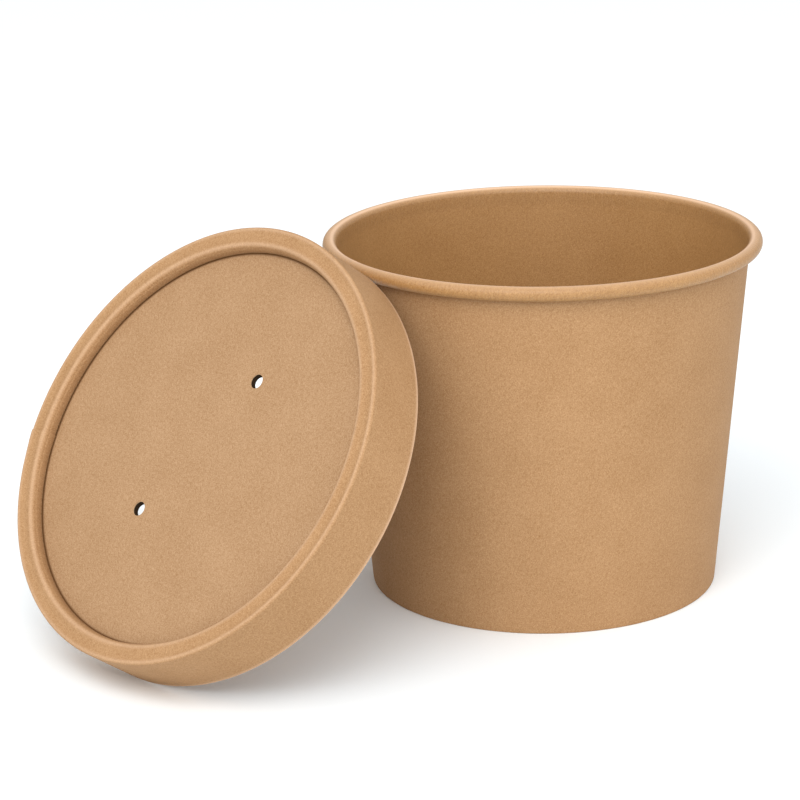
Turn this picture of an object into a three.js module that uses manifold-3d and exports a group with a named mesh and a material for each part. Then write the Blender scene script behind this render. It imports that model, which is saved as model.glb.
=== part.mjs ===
// Round kraft paper soup container, empty, with its paper lid standing on edge and leaning against it.
// Millimetres, +Z up. The origin is under the middle of the whole, on the surface that it stands on.
import * as THREE from 'three';
import Module from 'manifold-3d';
import { mergeVertices } from 'three/addons/utils/BufferGeometryUtils.js';

// Container: a tapered wall of paperboard whose rim is rolled outwards
const BOARD = 0.45;
const CUP_HEIGHT = 96.0;
const RIM_RADIUS = 58.5;
const FOOT_RADIUS = 47.0;
const BEAD_RADIUS = 1.85;
const BEAD_END_ANGLE = -140;

// Foot: the wall is folded inwards and up, round the skirt of a raised base
const HEM_HEIGHT = 7.0;
const BASE_TOP = 8.0;
const SKIRT_END = 0.9;
const FOLD_GAP = 0.08;
const FOOT_ROUNDING = 0.35;

// Lid: a band whose top is folded inwards and down, over the upturned edge of a sunk disc.
// Its inside clears the rolled rim, and the sunk disc with its edge drops into the container's mouth.
const LID_BOARD = 0.4;
const RIM_CLEARANCE = 0.1;
const LID_FLARE = 0.1;
const LID_HEIGHT = 17.0;
const LID_RECESS = 3.6;
const LID_DISC_RADIUS = 53.1;
const LID_FOLD_FLARE = 0.35;
const LID_CORNER = 0.45;
const LID_FOLD_CORNER = 0.75;
const LID_RIDGE_HEIGHT = 0.1;
const LID_GROOVE_DEPTH = 0.2;
const LID_FLANGE_TOP = 1.2;

// Two vent holes, equally far from the disc's middle
const VENT_RADIUS = 1.9;
const VENT_SPACING = 45.0;
const VENT_ANGLE = -27.0;

// The lid's lean from upright, its middle's offset across the lean, and the gap left where it touches
const LID_LEAN = 35.5;
const LID_OFFSET = 23.0;
const TOUCH_GAP = 0.3;

const SEGMENTS = 72;
const VENT_SEGMENTS = 20;

const radians = THREE.MathUtils.degToRad;
const kraft = (color) => new THREE.MeshStandardMaterial({ color, roughness: 0.85, metalness: 0 });

// Points of an arc about [r, z], between two angles in degrees
function arc(r, z, radius, from, to, steps) {
  const points = [];
  for (let i = 0; i <= steps; i += 1) {
    const angle = radians(from + ((to - from) * i) / steps);
    points.push([r + radius * Math.cos(angle), z + radius * Math.sin(angle)]);
  }
  return points;
}

// Points strictly between two ends, sagging below the straight line between them
function sag(from, to, depth, steps) {
  const points = [];
  for (let i = 1; i < steps; i += 1) {
    const t = i / steps;
    const drop = depth * Math.sin(Math.PI * t);
    points.push([from[0] + (to[0] - from[0]) * t, from[1] + (to[1] - from[1]) * t - drop]);
  }
  return points;
}

// An outline of [radius, height] points turned about the Z axis
function turned(outline) {
  const points = outline.map(([r, z]) => new THREE.Vector2(r, z));
  const geometry = new THREE.LatheGeometry(points, SEGMENTS);
  geometry.rotateX(Math.PI / 2);
  return geometry;
}

const ring = (outline) => turned([...outline, outline[0]]);

// The container's wall is a straight taper between its foot and the middle of the rolled rim
const beadZ = CUP_HEIGHT - BEAD_RADIUS;
const beadR = RIM_RADIUS - BEAD_RADIUS;
const wallTopRadius = beadR - BEAD_RADIUS + BOARD;
const taper = (wallTopRadius - FOOT_RADIUS) / beadZ;
const wallOuter = (z) => FOOT_RADIUS + taper * z;
const wallInner = (z) => wallOuter(z) - BOARD;

// Inside the foot, the skirt of the base stands between the wall and its fold
const skirtOuter = (z) => wallInner(z) - FOLD_GAP;
const skirtInner = (z) => skirtOuter(z) - BOARD;
const hemOuter = (z) => skirtInner(z) - FOLD_GAP;
const hemInner = (z) => hemOuter(z) - BOARD;

function cupWall() {
  const footCorner = FOOT_RADIUS - FOOT_ROUNDING;
  const hemCorner = hemInner(0) + FOOT_ROUNDING;
  return ring([
    [hemOuter(BOARD), BOARD],
    [hemOuter(HEM_HEIGHT), HEM_HEIGHT],
    [hemInner(HEM_HEIGHT), HEM_HEIGHT],
    ...arc(hemCorner, FOOT_ROUNDING, FOOT_ROUNDING, -180, -90, 2),
    ...arc(footCorner, FOOT_ROUNDING, FOOT_ROUNDING, -90, 0, 2),
    ...arc(beadR, beadZ, BEAD_RADIUS - BOARD, 180, BEAD_END_ANGLE, 10),
    ...arc(beadR, beadZ, BEAD_RADIUS, BEAD_END_ANGLE, 180, 14),
    [wallInner(BOARD), BOARD],
  ]);
}

function cupBase() {
  const under = BASE_TOP - BOARD;
  const bend = BOARD;
  return turned([
    [0, under],
    [skirtInner(under) - bend, under],
    [skirtInner(under - bend), under - bend],
    [skirtInner(SKIRT_END), SKIRT_END],
    [skirtOuter(SKIRT_END), SKIRT_END],
    [skirtOuter(BASE_TOP - bend), BASE_TOP - bend],
    [skirtOuter(BASE_TOP) - bend, BASE_TOP],
    [0, BASE_TOP],
  ]);
}

// The lid is drawn lying flat, its top at height 0 and its open edge below
const lidTopRadius = RIM_RADIUS + RIM_CLEARANCE + LID_BOARD;
const lidOpenRadius = lidTopRadius + LID_FLARE;
const foldEnd = -LID_RECESS + FOLD_GAP;
const foldFace = (z) => LID_DISC_RADIUS + LID_FOLD_FLARE * (1 + z / LID_RECESS);
const foldBack = (z) => foldFace(z) + LID_BOARD;

function lidBand() {
  const outerCorner = lidTopRadius - LID_CORNER;
  const innerCorner = foldFace(0) + LID_FOLD_CORNER;
  const innerTop = -LID_RIDGE_HEIGHT;
  const underCorner = LID_FOLD_CORNER - LID_BOARD;
  return ring([
    [lidOpenRadius, -LID_HEIGHT],
    ...arc(outerCorner, -LID_CORNER, LID_CORNER, 0, 90, 3),
    ...sag([outerCorner, 0], [innerCorner, innerTop], LID_GROOVE_DEPTH, 4),
    ...arc(innerCorner, innerTop - LID_FOLD_CORNER, LID_FOLD_CORNER, 90, 180, 3),
    [foldFace(foldEnd), foldEnd],
    [foldBack(foldEnd), foldEnd],
    ...arc(innerCorner, innerTop - LID_FOLD_CORNER, underCorner, 180, 90, 2),
    ...sag([innerCorner, innerTop - LID_BOARD], [outerCorner - LID_BOARD, -LID_BOARD], LID_GROOVE_DEPTH, 3),
    [outerCorner - LID_BOARD, -LID_BOARD],
    [lidTopRadius - LID_BOARD, -LID_BOARD - LID_CORNER],
    [lidOpenRadius - LID_BOARD, -LID_HEIGHT],
  ]);
}

async function lidDisc() {
  const top = -LID_RECESS;
  const under = top - LID_BOARD;
  const inner = (z) => foldBack(z) + FOLD_GAP;
  const outer = (z) => inner(z) + LID_BOARD;
  const bend = LID_BOARD;
  const blank = turned([
    [0, under],
    [outer(top) - bend, under],
    [outer(top), under + bend],
    [outer(-LID_FLANGE_TOP), -LID_FLANGE_TOP],
    [inner(-LID_FLANGE_TOP), -LID_FLANGE_TOP],
    [inner(top), top],
    [0, top],
  ]);
  const wasm = await Module();
  wasm.setup();
  let disc = solid(wasm, blank);
  for (const reach of [-VENT_SPACING / 2, VENT_SPACING / 2]) {
    const punch = new THREE.CylinderGeometry(VENT_RADIUS, VENT_RADIUS, LID_RECESS, VENT_SEGMENTS);
    punch.rotateX(Math.PI / 2);
    punch.translate(reach * Math.cos(radians(VENT_ANGLE)), reach * Math.sin(radians(VENT_ANGLE)), top);
    disc = disc.subtract(solid(wasm, punch));
  }
  return geometryOf(disc);
}

// A closed three.js geometry as a manifold solid
function solid(wasm, geometry) {
  const bare = geometry.clone();
  bare.deleteAttribute('normal');
  bare.deleteAttribute('uv');
  const merged = mergeVertices(bare);
  return new wasm.Manifold(new wasm.Mesh({
    numProp: 3,
    vertProperties: new Float32Array(merged.attributes.position.array),
    triVerts: new Uint32Array(merged.index.array),
  }));
}

function geometryOf(manifold) {
  const mesh = manifold.getMesh();
  const geometry = new THREE.BufferGeometry();
  geometry.setAttribute('position', new THREE.BufferAttribute(new Float32Array(mesh.vertProperties), 3));
  geometry.setIndex(new THREE.BufferAttribute(new Uint32Array(mesh.triVerts), 1));
  geometry.computeVertexNormals();
  return geometry;
}

function piece(name, geometry, color) {
  const mesh = new THREE.Mesh(geometry, kraft(color));
  mesh.name = name;
  return mesh;
}

const cup = new THREE.Group();
cup.add(piece('cup_wall', cupWall(), 0xc89d73));
cup.add(piece('cup_base', cupBase(), 0xb98e64));

const lid = new THREE.Group();
lid.add(piece('lid_band', lidBand(), 0xc79d73));
lid.add(piece('lid_disc', await lidDisc(), 0xcaa179));

// Leaned over, the lid's outward side faces -X and up, and the lowest point of its open edge is on the floor
const lean = radians(LID_LEAN);
lid.rotation.y = lean - Math.PI / 2;
lid.position.y = LID_OFFSET;
lid.position.z = LID_HEIGHT * Math.sin(lean) + lidOpenRadius * Math.cos(lean);

// The lid slides towards the container until the back of its open edge all but touches the wall or the rim
function gapToCup(x, y, z) {
  const fromAxis = Math.hypot(x, y);
  const toRim = Math.hypot(fromAxis - beadR, z - beadZ) - BEAD_RADIUS;
  const toWall = z < beadZ ? (fromAxis - wallOuter(z)) / Math.hypot(1, taper) : toRim;
  return Math.min(toRim, toWall);
}

function leastGap(lidX) {
  lid.position.x = lidX;
  lid.updateMatrixWorld(true);
  const point = new THREE.Vector3();
  const samples = 10 * SEGMENTS;
  let least = Infinity;
  for (let i = 0; i < samples; i += 1) {
    const angle = (2 * Math.PI * i) / samples;
    point.set(lidOpenRadius * Math.cos(angle), lidOpenRadius * Math.sin(angle), -LID_HEIGHT);
    point.applyMatrix4(lid.matrixWorld);
    least = Math.min(least, gapToCup(point.x, point.y, point.z));
  }
  return least;
}

let clear = -2 * RIM_RADIUS - lidOpenRadius;
let tooNear = -lidOpenRadius;
for (let step = 0; step < 24; step += 1) {
  const halfway = (clear + tooNear) / 2;
  if (leastGap(halfway) > TOUCH_GAP) clear = halfway;
  else tooNear = halfway;
}
lid.position.x = clear;

const container = new THREE.Group();
container.add(cup, lid);
const bounds = new THREE.Box3().setFromObject(container, true);
const middle = bounds.getCenter(new THREE.Vector3());
container.position.set(-middle.x, -middle.y, -bounds.min.z);

export default container;
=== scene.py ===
"""Kraft paper soup container with a rolled rim, and its vented lid leaning against it."""
import math
from collections import namedtuple

import bmesh
import bpy
import numpy as np
from mathutils import Matrix, Vector


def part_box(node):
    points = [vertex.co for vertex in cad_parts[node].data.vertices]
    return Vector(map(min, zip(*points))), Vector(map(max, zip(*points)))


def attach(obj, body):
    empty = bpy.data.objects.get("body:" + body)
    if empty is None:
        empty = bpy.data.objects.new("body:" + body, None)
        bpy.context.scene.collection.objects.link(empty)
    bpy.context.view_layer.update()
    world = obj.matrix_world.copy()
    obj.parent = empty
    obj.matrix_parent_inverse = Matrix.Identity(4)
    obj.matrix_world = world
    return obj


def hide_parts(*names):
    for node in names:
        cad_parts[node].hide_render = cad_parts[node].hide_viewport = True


MM = 0.001

# Container, as in the solids
BOARD = 0.45 * MM
BEAD_RADIUS = 1.85 * MM
BEAD_END = math.radians(-140)
FOOT_RADIUS = 47.0 * MM
FOOT_ROUNDING = 0.35 * MM
HEM_HEIGHT = 7.0 * MM
BASE_TOP = 8.0 * MM
SKIRT_END = 0.9 * MM
FOLD_GAP = 0.08 * MM

# Lid, as in the solids, apart from rounder corners, a deeper groove and a wider slit under its fold
LID_BOARD = 0.4 * MM
LID_HEIGHT = 17.0 * MM
LID_FLARE = 0.1 * MM
LID_RECESS = 3.6 * MM
LID_DISC_RADIUS = 53.1 * MM
LID_FOLD_FLARE = 0.35 * MM
LID_CORNER = 0.65 * MM
LID_FOLD_CORNER = 1.25 * MM
LID_RIDGE_HEIGHT = 0.1 * MM
LID_GROOVE_DEPTH = 0.3 * MM
LID_FLANGE_TOP = 1.2 * MM
LID_SLIT = 0.32 * MM
VENT_RADIUS = 1.9 * MM
VENT_SPACING = 45.0 * MM
VENT_ANGLE = math.radians(-27.0)
LID_LEAN = math.radians(35.5)

# Side seams: each end of the sheet makes a step, which fades out over the lap and towards a folded foot
SEAM_STEP = 0.2 * MM
SEAM_LAP = 7.0 * MM
CUP_SEAM = math.radians(158)
LID_SEAM = math.radians(100)
SEAM_SHARPNESS = 0.02 * MM
SEAM_FADE = 3.0 * MM
SEAM_ON_RIM = 0.2
CUP_SEAM_FROM = 1.5 * MM
LID_SEAM_FROM = -2 * LID_HEIGHT

# Each vent hole is pierced from above, which presses a short collar inwards
COLLAR_DEPTH = 1.5 * MM
COLLAR_BOARD = 0.2 * MM

# How finely outlines and holes are divided, which edges stay sharp, and how near two points are one
COLUMNS = 420
VENT_COLUMNS = 72
SHARP_ANGLE = math.radians(40)
WELD_DISTANCE = 1e-7

# Camera: where it stands round the container's axis, its direction of view and its lens
VIEW_FROM = math.radians(-136.7)
VIEW_DISTANCE = 718 * MM
VIEW_HEIGHT = 271.2 * MM
VIEW_YAW = -0.0539
VIEW_PITCH = 0.2991
VIEW_ROLL = -0.0209
FOCAL_PIXELS = 2765
FRAME_PIXELS = 800
SENSOR = 36.0

# Colours of the board, in linear values
OUTER_TONE = (0.378, 0.213, 0.099)
INNER_TONE = (0.368, 0.192, 0.067)
DISC_TONE = (0.362, 0.214, 0.109)
EDGE_TONE = (0.440, 0.290, 0.165)
# Near-black, a painted shade for the inside of the vent holes
VENT_SHADE_TONE = (0.030, 0.018, 0.010)
TABLE_TONE = (0.92, 0.965, 0.99)

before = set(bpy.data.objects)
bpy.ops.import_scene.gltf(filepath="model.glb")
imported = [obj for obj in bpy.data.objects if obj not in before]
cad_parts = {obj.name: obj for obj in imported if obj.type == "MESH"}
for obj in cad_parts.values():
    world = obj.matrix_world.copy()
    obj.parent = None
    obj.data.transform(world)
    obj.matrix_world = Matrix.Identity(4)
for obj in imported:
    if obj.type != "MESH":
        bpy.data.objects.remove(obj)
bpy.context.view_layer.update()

# Sizes and places that the frame gives
cup_low, cup_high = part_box("cup_wall")
cup_height = cup_high[2]
rim_radius = (cup_high[0] - cup_low[0]) / 2
cup_axis = Vector(((cup_low[0] + cup_high[0]) / 2, (cup_low[1] + cup_high[1]) / 2, 0))
band_low, band_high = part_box("lid_band")
lid_open_radius = (band_high[1] - band_low[1]) / 2
lid_top_radius = lid_open_radius - LID_FLARE
lid_centre = Vector((
    band_high[0] - LID_HEIGHT * math.cos(LID_LEAN) - lid_open_radius * math.sin(LID_LEAN),
    (band_low[1] + band_high[1]) / 2,
    LID_HEIGHT * math.sin(LID_LEAN) + lid_open_radius * math.cos(LID_LEAN),
))
CUP_PLACE = Matrix.Translation(cup_axis)
LID_PLACE = Matrix.Translation(lid_centre) @ Matrix.Rotation(LID_LEAN - math.pi / 2, 4, "Y")

bead_z = cup_height - BEAD_RADIUS
bead_r = rim_radius - BEAD_RADIUS
taper = (bead_r - BEAD_RADIUS + BOARD - FOOT_RADIUS) / bead_z


def clamped(value):
    """A value held between 0 and 1."""
    return min(1.0, max(0.0, value))


def wall_outer(z):
    return FOOT_RADIUS + taper * z


def wall_inner(z):
    return wall_outer(z) - BOARD


def skirt_outer(z):
    return wall_inner(z) - FOLD_GAP


def skirt_inner(z):
    return skirt_outer(z) - BOARD


def hem_outer(z):
    return skirt_inner(z) - FOLD_GAP


def hem_inner(z):
    return hem_outer(z) - BOARD


def fold_face(z):
    return LID_DISC_RADIUS + LID_FOLD_FLARE * (1 + z / LID_RECESS)


def fold_back(z):
    return fold_face(z) + LID_BOARD


# An outline is a list of (radius, height, side of the board). Where the side changes, the board is cut.
OUTSIDE = 0
INSIDE = 1
CUT = 2


def arc(r, z, radius, start, end, steps, side):
    """Points of an arc about (r, z), between two angles."""
    angles = np.linspace(start, end, steps + 1)
    return [(r + radius * math.cos(a), z + radius * math.sin(a), side) for a in angles]


def line(start, end, steps, side, dip=0.0):
    """Points from start to end, sagging by dip between them."""
    points = []
    for t in np.linspace(0, 1, steps + 1):
        r = start[0] + (end[0] - start[0]) * t
        z = start[1] + (end[1] - start[1]) * t - dip * math.sin(math.pi * t)
        points.append((r, z, side))
    return points


def cup_wall_outline():
    half = math.pi / 2
    inner_corner = hem_inner(0) + FOOT_ROUNDING
    outer_corner = FOOT_RADIUS - FOOT_ROUNDING
    low = 1.0 * MM
    high = bead_z - 0.5 * MM
    return (
        line((hem_outer(BOARD), BOARD), (hem_outer(HEM_HEIGHT), HEM_HEIGHT), 4, INSIDE)
        + line((hem_inner(HEM_HEIGHT), HEM_HEIGHT), (hem_inner(low), low), 8, OUTSIDE)
        + arc(inner_corner, FOOT_ROUNDING, FOOT_ROUNDING, -math.pi, -half, 5, OUTSIDE)
        + arc(outer_corner, FOOT_ROUNDING, FOOT_ROUNDING, -half, 0, 5, OUTSIDE)
        + line((wall_outer(low), low), (wall_outer(high), high), 60, OUTSIDE)
        + arc(bead_r, bead_z, BEAD_RADIUS - BOARD, math.pi, BEAD_END, 26, OUTSIDE)
        + arc(bead_r, bead_z, BEAD_RADIUS, BEAD_END, math.pi, 40, INSIDE)
        + line((wall_inner(high), high), (wall_inner(BOARD), BOARD), 60, INSIDE)
    )


def cup_base_outline():
    under = BASE_TOP - BOARD
    bend = 2 * BOARD
    half = math.pi / 2
    low = under - 2 * bend
    high = BASE_TOP - 2 * bend
    return (
        line((0, under), (skirt_inner(under) - bend, under), 30, OUTSIDE)
        + arc(skirt_inner(under) - bend, under - bend, bend, half, 0, 5, OUTSIDE)
        + line((skirt_inner(low), low), (skirt_inner(SKIRT_END), SKIRT_END), 4, OUTSIDE)
        + line((skirt_outer(SKIRT_END), SKIRT_END), (skirt_outer(high), high), 4, INSIDE)
        + arc(skirt_outer(BASE_TOP) - bend, BASE_TOP - bend, bend, 0, half, 6, INSIDE)
        + line((skirt_outer(BASE_TOP) - 2 * bend, BASE_TOP), (0, BASE_TOP), 30, INSIDE)
    )


def lid_band_outline():
    half = math.pi / 2
    step = 0.15 * MM
    outer_corner = lid_top_radius - LID_CORNER
    inner_radius = lid_top_radius - LID_BOARD
    inner_corner = LID_CORNER - LID_BOARD
    inner_top = -LID_BOARD
    fold_corner = fold_face(0) + LID_FOLD_CORNER
    fold_z = -LID_RIDGE_HEIGHT - LID_FOLD_CORNER
    fold_top = fold_z - step
    fold_end = -LID_RECESS + LID_SLIT
    under_radius = LID_FOLD_CORNER - LID_BOARD
    top_start = (outer_corner - step, 0)
    top_end = (fold_corner + step, -LID_RIDGE_HEIGHT)
    groove_start = (fold_corner + step, fold_z + under_radius)
    groove_end = (outer_corner - LID_BOARD - step, inner_top)
    band_start = (inner_radius, inner_top - 2 * inner_corner)
    return (
        line((lid_open_radius, -LID_HEIGHT), (lid_top_radius, -LID_CORNER - step), 16, OUTSIDE)
        + arc(outer_corner, -LID_CORNER, LID_CORNER, 0, half, 8, OUTSIDE)
        + line(top_start, top_end, 16, OUTSIDE, LID_GROOVE_DEPTH)
        + arc(fold_corner, fold_z, LID_FOLD_CORNER, half, math.pi, 10, OUTSIDE)
        + line((fold_face(fold_top), fold_top), (fold_face(fold_end), fold_end), 8, OUTSIDE)
        + line((fold_back(fold_end), fold_end), (fold_back(fold_top), fold_top), 4, INSIDE)
        + arc(fold_corner, fold_z, under_radius, math.pi, half, 4, INSIDE)
        + line(groove_start, groove_end, 8, INSIDE, LID_GROOVE_DEPTH)
        + arc(inner_radius - inner_corner, inner_top - inner_corner, inner_corner, half, 0, 4, INSIDE)
        + line(band_start, (lid_open_radius - LID_BOARD, -LID_HEIGHT), 16, INSIDE)
    )


def lid_disc_outline():
    top = -LID_RECESS
    under = top - LID_BOARD
    bend = 1.5 * LID_BOARD
    low = top + bend
    half = math.pi / 2
    ring_inside = LID_DISC_RADIUS - 2 * MM
    middle_edge = LID_DISC_RADIUS - 3 * MM

    def flange_inner(z):
        return fold_back(z) + FOLD_GAP

    def flange_outer(z):
        return flange_inner(z) + LID_BOARD

    return (
        line((0, under), (flange_outer(top) - bend, under), 36, INSIDE)
        + arc(flange_outer(top) - bend, under + bend, bend, -half, 0, 5, INSIDE)
        + line((flange_outer(low), low), (flange_outer(-LID_FLANGE_TOP), -LID_FLANGE_TOP), 4, INSIDE)
        + line((flange_inner(-LID_FLANGE_TOP), -LID_FLANGE_TOP),
               (flange_inner(top + LID_BOARD), top + LID_BOARD), 4, OUTSIDE)
        + line((flange_inner(top) - LID_BOARD / 2, top), (ring_inside, top), 10, OUTSIDE)
        + line((middle_edge, top), (0, top), 32, OUTSIDE)
    )


def columns(seam, radius):
    """Angles round the axis, with close pairs where the two ends of the sheet make their steps."""
    even = np.linspace(0, 2 * math.pi, COLUMNS, endpoint=False)
    close = SEAM_SHARPNESS / radius
    inner_end = seam + SEAM_LAP / radius
    return np.sort(np.concatenate([even, [seam, seam - close, inner_end, inner_end + close]]))


def seam_offset(angles, seam, radius, side):
    """How far the board stands proud over the lap: a step at one end, fading to nothing at the other."""
    along = ((angles - seam) % (2 * math.pi)) * radius / SEAM_LAP
    if side == INSIDE:
        along = 1 - along
    inside_lap = (along >= -1e-6) & (along <= 1)
    fading = 0.5 + 0.5 * np.cos(math.pi * np.clip(along, 0, 1))
    return np.where(inside_lap, SEAM_STEP * fading, 0.0)


def outline_normals(outline):
    """Directions out of the board at each point of a closed outline that runs anticlockwise."""
    points = np.array([(r, z) for r, z, _ in outline])
    ahead = np.roll(points, -1, axis=0) - np.roll(points, 1, axis=0)
    normals = np.stack([ahead[:, 1], -ahead[:, 0]], axis=1)
    return normals / np.maximum(np.linalg.norm(normals, axis=1), 1e-9)[:, None]


# A mark runs round the axis at a radius and a height. Above 0 it is paler: worn board at edges and folds,
# and painted highlight on the rim and folds. Below 0 it is painted shade.
LightAndWear = namedtuple("LightAndWear", "radius height width strength")


def strength_at(r, z, light_and_wear_marks):
    """The strength of all pale and dark marks together at a point of an outline."""
    total = 0.0
    for light_and_wear in light_and_wear_marks:
        apart = (r - light_and_wear.radius) ** 2 + (z - light_and_wear.height) ** 2
        total += light_and_wear.strength * math.exp(-apart / light_and_wear.width ** 2)
    return total


def turned(name, outline, place, seam=None, seam_from=0.0, flattened=None, crimped=None, light_and_wear_marks=()):
    """An outline turned about the local Z axis, with UV in metres along and across the sheet."""
    radius = max(r for r, _, _ in outline)
    start = seam if seam is not None else 0.0
    angles = columns(start, radius)
    normals = outline_normals(outline)
    count = len(outline)
    full_turn = len(angles)
    vertices = np.zeros((full_turn, count, 3))
    for i, (r, z, side) in enumerate(outline):
        proud = np.zeros(full_turn)
        if seam is not None:
            above_fold = clamped((z - seam_from) / SEAM_FADE)
            share = flattened(z) if flattened else 1.0
            proud = seam_offset(angles, seam, radius, side) * above_fold * share
        radii = r + proud * normals[i][0]
        vertices[:, i, 0] = radii * np.cos(angles)
        vertices[:, i, 1] = radii * np.sin(angles)
        vertices[:, i, 2] = z + proud * normals[i][1]

    on_axis = outline[0][0] == 0
    spans = count - 1 if on_axis else count
    faces = []
    slots = []
    for j in range(full_turn):
        k = (j + 1) % full_turn
        for i in range(spans):
            n = (i + 1) % count
            faces.append((j * count + i, k * count + i, k * count + n, j * count + n))
            slots.append(outline[i][2] if outline[i][2] == outline[n][2] else CUT)

    mesh = bpy.data.meshes.new(name)
    mesh.from_pydata(vertices.reshape(-1, 3).tolist(), [], faces)
    mesh.polygons.foreach_set("material_index", slots)

    steps = [math.dist(outline[i][:2], outline[i - 1][:2]) for i in range(1, count)]
    down = np.concatenate([[0], np.cumsum(steps)])
    round_uv = ((angles - start) % (2 * math.pi)) * radius
    uv = mesh.uv_layers.new(name="sheet")
    coords = np.zeros((len(faces), 4, 2))
    index = 0
    for j in range(full_turn):
        k = (j + 1) % full_turn
        u0 = round_uv[j]
        u1 = round_uv[k] if round_uv[k] > u0 else 2 * math.pi * radius
        for i in range(spans):
            n = (i + 1) % count
            if on_axis:
                coords[index] = vertices[[j, k, k, j], [i, i, n, n], :2]
            else:
                v0 = down[i]
                v1 = down[n] if n else down[i] + BOARD
                coords[index] = [(u0, v0), (u1, v0), (u1, v1), (u0, v1)]
            index += 1
    uv.data.foreach_set("uv", coords.reshape(-1))

    crimp = np.array([crimped(r, z) if crimped else 0.0 for r, z, _ in outline])
    light_and_wear = np.array([strength_at(r, z, light_and_wear_marks) for r, z, _ in outline])
    for label, values in (("crimp", crimp), ("light_and_wear", light_and_wear)):
        layer = mesh.attributes.new(label, "FLOAT", "POINT")
        layer.data.foreach_set("value", np.tile(values, full_turn))

    clean = bmesh.new()
    clean.from_mesh(mesh)
    bmesh.ops.remove_doubles(clean, verts=clean.verts, dist=WELD_DISTANCE)
    bmesh.ops.recalc_face_normals(clean, faces=clean.faces)
    clean.to_mesh(mesh)
    clean.free()
    mesh.transform(place)
    mesh.shade_smooth()
    mesh.set_sharp_from_angle(angle=SHARP_ANGLE)
    piece = bpy.data.objects.new(name, mesh)
    bpy.context.collection.objects.link(piece)
    return piece


def node(tree, kind, inputs=None, **settings):
    made = tree.nodes.new(kind)
    for key, value in settings.items():
        setattr(made, key, value)
    for key, value in (inputs or {}).items():
        if isinstance(value, bpy.types.NodeSocket):
            tree.links.new(value, made.inputs[key])
        else:
            made.inputs[key].default_value = value
    return made


def math_node(tree, operation, a, b, clamp=False):
    return node(tree, "ShaderNodeMath", {0: a, 1: b}, operation=operation, use_clamp=clamp).outputs[0]


def fibres(tree, coords, size, angle, detail=2.0):
    """Noise drawn out into streaks, whose size is their width and length, at an angle in degrees."""
    width, length = size
    stretch = {"Vector": coords, "Rotation": (0, 0, math.radians(angle)), "Scale": (width, length, width)}
    stretched = node(tree, "ShaderNodeMapping", stretch, vector_type="TEXTURE").outputs[0]
    noise = {"Vector": stretched, "Scale": 1.0, "Detail": detail, "Roughness": NOISE_ROUGHNESS}
    return node(tree, "ShaderNodeTexNoise", noise).outputs["Fac"]


def spread(tree, value, low, high):
    """Stretches the middle of a noise's range to 0..1."""
    return node(tree, "ShaderNodeMapRange", {"Value": value, "From Min": low, "From Max": high}).outputs[0]


# Layers of the board's texture: streaks by width and length, with their angles, and clouds per metre
FELT_FIBRE = (0.2 * MM, 1.6 * MM)
FELT_ANGLES = (12, 75, 138)
GRAIN_FIBRE = (0.34 * MM, 0.42 * MM)
GRAIN_ANGLE = 40
COARSE_FIBRE = (0.9 * MM, 1.1 * MM)
SPECK_FIBRE = (0.4 * MM, 0.8 * MM)
SPECK_ANGLE = 100
WRINKLE_FIBRE = (0.55 * MM, 5.0 * MM)
CLOUD_SCALE = 95.0
DRIFT_SCALE = 28.0
NOISE_ROUGHNESS = 0.6
BUMP_STRENGTH = 0.8
ROUGHNESS_SPREAD = 0.12

# How much each layer counts in the board's colour, and how high it stands
FELT_SHARE = 0.22
GRAIN_SHARE = 0.44
COARSE_SHARE = 0.20
CLOUD_SHARE = 0.14
DRIFT_SHARE = 0.06
SPECK_SHARE = 0.2
FELT_HEIGHT = 0.018 * MM
GRAIN_HEIGHT = 0.02 * MM
WRINKLE_HEIGHT = 0.10 * MM
CLOUD_HEIGHT = 0.06 * MM

# Dark and light parts of the board, and its painted shade, as shares of its own colour, and its paler
# edges, partly worn and partly painted highlight
DARK_PART = (0.66, 0.56, 0.41)
LIGHT_PART = (1.34, 1.45, 1.62)
PAINTED_SHADE_PART = (0.36, 0.27, 0.18)
LIGHT_AND_WEAR_STRENGTH = 0.8
PALE_SHARE = 0.20
PALE_GAIN = 1.38


def mixed(tree, share, low, high):
    """One colour going over into another."""
    return node(tree, "ShaderNodeMix", {"Factor": share, 6: low, 7: high}, data_type="RGBA").outputs[2]


def tinted(tone, part):
    """A tone with each of its three values multiplied, as a colour."""
    return tuple(a * b for a, b in zip(tone, part)) + (1,)


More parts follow.
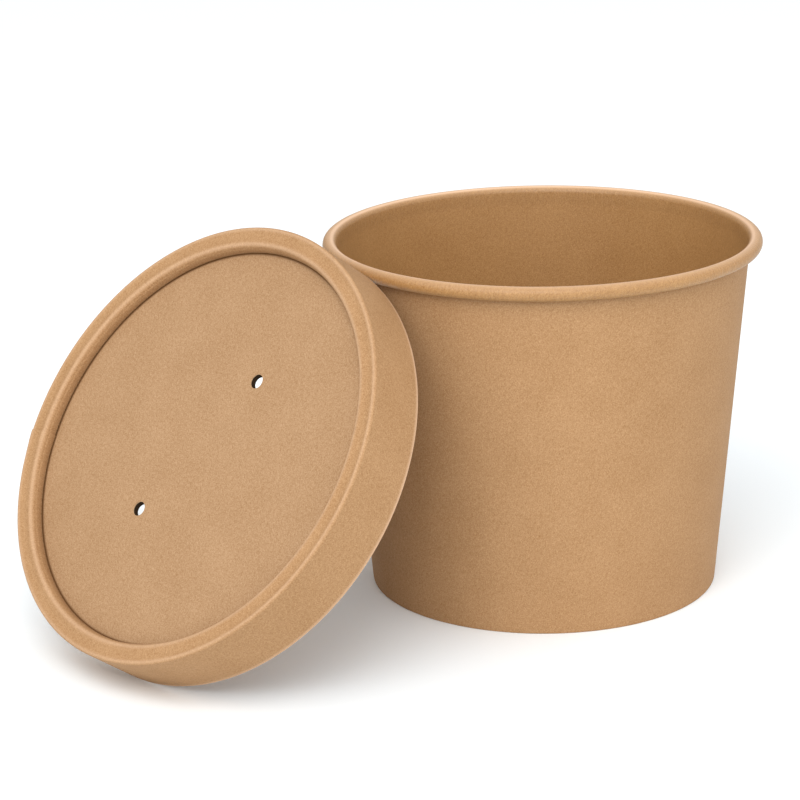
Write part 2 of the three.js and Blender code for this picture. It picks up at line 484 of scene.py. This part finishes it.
def paper(name, tone, roughness, gloss, mottle=1.0):
    """Unbleached board: felted fibres, cloudy patches, darker specks, and wrinkles where it is curled."""
    material = bpy.data.materials.new(name)
    material.use_nodes = True
    tree = material.node_tree
    shader = tree.nodes["Principled BSDF"]
    sheet = node(tree, "ShaderNodeUVMap", uv_map="sheet").outputs[0]
    space = node(tree, "ShaderNodeTexCoord").outputs["Object"]

    streaks = [fibres(tree, sheet, FELT_FIBRE, angle) for angle in FELT_ANGLES]
    felt = math_node(tree, "ADD", math_node(tree, "ADD", streaks[0], streaks[1]), streaks[2])
    felt = spread(tree, felt, low=1.2, high=1.8)
    grain = spread(tree, fibres(tree, sheet, GRAIN_FIBRE, GRAIN_ANGLE), low=0.32, high=0.68)
    coarse = spread(tree, fibres(tree, sheet, COARSE_FIBRE, 0), low=0.3, high=0.7)
    cloudy = {"Vector": space, "Scale": CLOUD_SCALE, "Detail": 4.0, "Roughness": NOISE_ROUGHNESS}
    cloud = spread(tree, node(tree, "ShaderNodeTexNoise", cloudy).outputs["Fac"], low=0.25, high=0.75)
    drifting = {"Vector": space, "Scale": DRIFT_SCALE, "Detail": 2.0}
    drift = spread(tree, node(tree, "ShaderNodeTexNoise", drifting).outputs["Fac"], low=0.3, high=0.7)
    speck = spread(tree, fibres(tree, sheet, SPECK_FIBRE, SPECK_ANGLE, detail=1.0), low=0.72, high=0.80)

    shares = (
        (felt, FELT_SHARE),
        (grain, GRAIN_SHARE),
        (coarse, COARSE_SHARE),
        (cloud, CLOUD_SHARE * mottle),
        (drift, DRIFT_SHARE * mottle),
    )
    middle = 0.5 * (1 - sum(share for _, share in shares))
    shade = math_node(tree, "SUBTRACT", middle, math_node(tree, "MULTIPLY", speck, SPECK_SHARE))
    for part, share in shares:
        shade = math_node(tree, "ADD", shade, math_node(tree, "MULTIPLY", part, share))
    colour = mixed(tree, shade, tinted(tone, DARK_PART), tinted(tone, LIGHT_PART))

    # Pale and dark marks round the axis: paler is partly worn board and partly painted highlight, darker
    # is painted shade
    light_and_wear = node(tree, "ShaderNodeAttribute", attribute_name="light_and_wear").outputs["Fac"]
    pale_wear_and_highlight = math_node(tree, "MULTIPLY", light_and_wear, LIGHT_AND_WEAR_STRENGTH, clamp=True)
    pale = tuple(PALE_SHARE + PALE_GAIN * part for part in tone)
    colour = mixed(tree, pale_wear_and_highlight, colour, (*pale, 1))
    painted_shade = math_node(tree, "MULTIPLY", light_and_wear, -LIGHT_AND_WEAR_STRENGTH, clamp=True)
    colour = mixed(tree, painted_shade, colour, tinted(tone, PAINTED_SHADE_PART))
    tree.links.new(colour, shader.inputs["Base Color"])

    crimp = node(tree, "ShaderNodeAttribute", attribute_name="crimp").outputs["Fac"]
    wrinkle = spread(tree, fibres(tree, sheet, WRINKLE_FIBRE, 0), low=0.3, high=0.7)
    wrinkle = math_node(tree, "MULTIPLY", wrinkle, crimp)
    height = math_node(tree, "MULTIPLY", felt, FELT_HEIGHT)
    for part, rise in ((grain, GRAIN_HEIGHT), (wrinkle, WRINKLE_HEIGHT), (cloud, CLOUD_HEIGHT)):
        height = math_node(tree, "ADD", height, math_node(tree, "MULTIPLY", part, rise))
    bump = node(tree, "ShaderNodeBump", {"Height": height, "Distance": 1.0, "Strength": BUMP_STRENGTH})
    tree.links.new(bump.outputs[0], shader.inputs["Normal"])

    rough = math_node(tree, "MULTIPLY", grain, ROUGHNESS_SPREAD)
    rough = math_node(tree, "ADD", rough, roughness - ROUGHNESS_SPREAD / 2)
    tree.links.new(rough, shader.inputs["Roughness"])
    shader.inputs["Specular IOR Level"].default_value = gloss
    return material


def plain(name, tone, roughness, gloss):
    """A material of one even colour."""
    material = bpy.data.materials.new(name)
    material.use_nodes = True
    shader = material.node_tree.nodes["Principled BSDF"]
    shader.inputs["Base Color"].default_value = (*tone, 1)
    shader.inputs["Roughness"].default_value = roughness
    shader.inputs["Specular IOR Level"].default_value = gloss
    return material


def dress(piece, outside, inside, cut):
    """Gives a piece the looks of its two sides and its cut edges."""
    for material in (outside, inside, cut):
        piece.data.materials.append(material)
    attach(piece, "root")


outside_paper = paper("kraft_outside", OUTER_TONE, roughness=0.7, gloss=0.15)
inside_paper = paper("kraft_inside", INNER_TONE, roughness=0.42, gloss=0.5)
disc_paper = paper("kraft_lid_face", DISC_TONE, roughness=0.75, gloss=0.15)
edge_paper = paper("kraft_cut_edge", EDGE_TONE, roughness=0.95, gloss=0.1, mottle=0.5)
# The vent collars' faces inside the holes are painted near-black, as painted shade
vent_painted_shade = plain("vent_collar_painted_shade", VENT_SHADE_TONE, roughness=0.9, gloss=0.05)


# The container
def rim_crimp(_, z):
    """Wrinkles come in over the last of the wall and go all over the rim."""
    start = bead_z - 5 * MM
    fade = 4 * MM
    return clamped((z - start) / fade)


def pressed_lap(z):
    """The lap is squeezed nearly flat where the rim is rolled."""
    fade = 4 * MM
    on_rim = clamped((z - bead_z + fade) / fade)
    return 1 - (1 - SEAM_ON_RIM) * on_rim


# Painted highlights along the top of the rolled rim and its inner lip, and a painted shade line under the
# rim where it meets the wall
rim_painted_light = (
    LightAndWear(bead_r, cup_height, width=1.2 * MM, strength=0.6),
    LightAndWear(bead_r - 0.7 * MM, cup_height - 0.15 * MM, width=0.5 * MM, strength=1.0),
    LightAndWear(rim_radius - 3.1 * MM, cup_height - 3.4 * MM, width=0.8 * MM, strength=-0.5),
)
wall = turned("container_wall", cup_wall_outline(), CUP_PLACE, seam=CUP_SEAM, seam_from=CUP_SEAM_FROM,
              flattened=pressed_lap, crimped=rim_crimp, light_and_wear_marks=rim_painted_light)
dress(wall, outside_paper, inside_paper, edge_paper)
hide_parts("cup_wall")

base = turned("container_base", cup_base_outline(), CUP_PLACE)
dress(base, outside_paper, inside_paper, edge_paper)
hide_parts("cup_base")


# The lid
def fold_crimp(r, z):
    """Wrinkles are on the lid's top and its fold, and fade out before the outer corner."""
    depth_fade = 1 * MM
    outer_fade = 0.8 * MM
    outer_end = lid_top_radius - 0.3 * MM
    near_top = clamped((z + LID_RECESS + depth_fade) / depth_fade)
    return near_top * clamped((outer_end - r) / outer_fade)


# Paler at the outer corner and at the edge of the fold, partly stretched fibres and partly a painted
# highlight; painted shade at the foot of the fold; paler along the open edge
band_light_and_wear = (
    LightAndWear(lid_top_radius - LID_CORNER, 0.0, width=0.45 * MM, strength=0.3),
    LightAndWear(fold_face(0) + 0.7 * MM, -LID_RIDGE_HEIGHT, width=0.6 * MM, strength=0.35),
    LightAndWear(fold_face(-LID_RECESS), -LID_RECESS, width=1.3 * MM, strength=-0.6),
    LightAndWear(lid_open_radius, -LID_HEIGHT, width=0.5 * MM, strength=0.7),
)
band = turned("lid_band_board", lid_band_outline(), LID_PLACE, seam=LID_SEAM, seam_from=LID_SEAM_FROM,
              crimped=fold_crimp, light_and_wear_marks=band_light_and_wear)
dress(band, outside_paper, inside_paper, edge_paper)
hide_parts("lid_band")

# Painted shade along the edge of the disc, under the fold
disc_rim_painted_shade = LightAndWear(fold_face(-LID_RECESS), -LID_RECESS, width=0.4 * MM, strength=-1.4)
disc = turned("lid_disc_board", lid_disc_outline(), LID_PLACE, light_and_wear_marks=(disc_rim_painted_shade,))
dress(disc, disc_paper, inside_paper, edge_paper)
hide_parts("lid_disc")


def vent_places(z):
    """The places of the two vent holes, at a height of the lid as it is drawn."""
    places = []
    for reach in (-VENT_SPACING / 2, VENT_SPACING / 2):
        middle = Vector((reach * math.cos(VENT_ANGLE), reach * math.sin(VENT_ANGLE), z))
        places.append(LID_PLACE @ Matrix.Translation(middle))
    return places


def punch_vents(target):
    """Cuts the two vent holes through the disc."""
    for place in vent_places(-LID_RECESS):
        bpy.ops.mesh.primitive_cylinder_add(vertices=VENT_COLUMNS, radius=VENT_RADIUS, depth=LID_RECESS)
        tool = bpy.context.active_object
        tool.data.materials.append(edge_paper)
        tool.matrix_world = place
        cut = target.modifiers.new("vent", "BOOLEAN")
        cut.operation = "DIFFERENCE"
        cut.solver = "EXACT"
        cut.material_mode = "TRANSFER"
        cut.object = tool
        bpy.context.view_layer.objects.active = target
        bpy.ops.object.modifier_apply(modifier=cut.name)
        bpy.data.objects.remove(tool)


def collar_outline():
    """A ring of torn board under a vent hole, joined to the disc."""
    low = -LID_RECESS - COLLAR_DEPTH
    under = -LID_RECESS - LID_BOARD
    middle = -LID_RECESS - LID_BOARD / 2
    foot = VENT_RADIUS + 2 * COLLAR_BOARD
    return (
        line((VENT_RADIUS, middle), (VENT_RADIUS - COLLAR_BOARD, low), 5, OUTSIDE)
        + line((VENT_RADIUS, low), (foot, under), 5, INSIDE)
        + line((foot, middle), (VENT_RADIUS + COLLAR_BOARD, middle), 1, INSIDE)
    )


punch_vents(disc)
for which, place in zip(("lower", "upper"), vent_places(0)):
    collar = turned("vent_collar_" + which, collar_outline(), place)
    dress(collar, vent_painted_shade, inside_paper, edge_paper)

# White surface
TABLE_SIZE = 8.0

bpy.ops.mesh.primitive_plane_add(size=TABLE_SIZE)
floor = bpy.context.active_object
floor.name = "white_table"
floor.data.materials.append(plain("white_table", TABLE_TONE, roughness=0.7, gloss=0.1))

# The room's light: an even level, more from above, and more or less from the front and the right
SKY_LEVEL = 0.88
SKY_ABOVE = 0.22
SKY_FRONT = 0.42
SKY_RIGHT = 0.24
LIGHT_TARGET = Vector((0, 0, 0.04))

front = Vector((math.cos(VIEW_FROM), math.sin(VIEW_FROM), 0))
rightward = Vector((-math.sin(VIEW_FROM), math.cos(VIEW_FROM), 0))
world = bpy.data.worlds.new("white_room")
bpy.context.scene.world = world
world.use_nodes = True
sky = world.node_tree
direction = node(sky, "ShaderNodeTexCoord").outputs["Generated"]
height_up = node(sky, "ShaderNodeSeparateXYZ", {0: direction}).outputs["Z"]
strength = math_node(sky, "MULTIPLY", math_node(sky, "MAXIMUM", height_up, 0.0), SKY_ABOVE)
strength = math_node(sky, "ADD", strength, SKY_LEVEL)
for towards, share in ((front, SKY_FRONT), (rightward, SKY_RIGHT)):
    facing = node(sky, "ShaderNodeVectorMath", {0: direction, 1: towards}, operation="DOT_PRODUCT")
    strength = math_node(sky, "ADD", strength, math_node(sky, "MULTIPLY", facing.outputs["Value"], share))
strength = math_node(sky, "MAXIMUM", strength, 0.0)
background = sky.nodes["Background"]
background.inputs["Color"].default_value = (1, 1, 1, 1)
sky.links.new(strength, background.inputs["Strength"])


def softbox(name, bearing, height, distance, size, power):
    """A square area light that faces the container, at a bearing from the camera's side."""
    light = bpy.data.lights.new(name, "AREA")
    light.size = size
    light.energy = power
    lamp = bpy.data.objects.new(name, light)
    angle = VIEW_FROM + math.radians(bearing)
    away = Vector((distance * math.cos(angle), distance * math.sin(angle), height))
    lamp.location = LIGHT_TARGET + away
    lamp.rotation_euler = (LIGHT_TARGET - lamp.location).to_track_quat("-Z", "Y").to_euler()
    bpy.context.collection.objects.link(lamp)


softbox("left_softbox", bearing=-55, height=0.8, distance=0.9, size=0.8, power=1.5)
softbox("front_softbox", bearing=-8, height=0.8, distance=0.8, size=0.7, power=6.2)

# Camera
turn = Matrix.Rotation(VIEW_FROM + math.pi / 2, 3, "Z")
along_floor = math.cos(VIEW_PITCH)
forward = turn @ Vector((
    math.sin(VIEW_YAW) * along_floor,
    math.cos(VIEW_YAW) * along_floor,
    -math.sin(VIEW_PITCH),
))
level = turn @ Vector((math.cos(VIEW_YAW), -math.sin(VIEW_YAW), 0))
upright = level.cross(forward)
right = math.cos(VIEW_ROLL) * level + math.sin(VIEW_ROLL) * upright
up = math.cos(VIEW_ROLL) * upright - math.sin(VIEW_ROLL) * level
camera_data = bpy.data.cameras.new("camera")
camera_data.sensor_width = SENSOR
camera_data.lens = FOCAL_PIXELS * SENSOR / FRAME_PIXELS
camera = bpy.data.objects.new("camera", camera_data)
bpy.context.collection.objects.link(camera)
eye = cup_axis + turn @ Vector((0, -VIEW_DISTANCE, 0)) + Vector((0, 0, VIEW_HEIGHT))
axes = Matrix((right, up, -forward)).transposed().to_4x4()
camera.matrix_world = Matrix.Translation(eye) @ axes
bpy.context.scene.camera = camera
bpy.context.scene.view_settings.view_transform = "Standard"
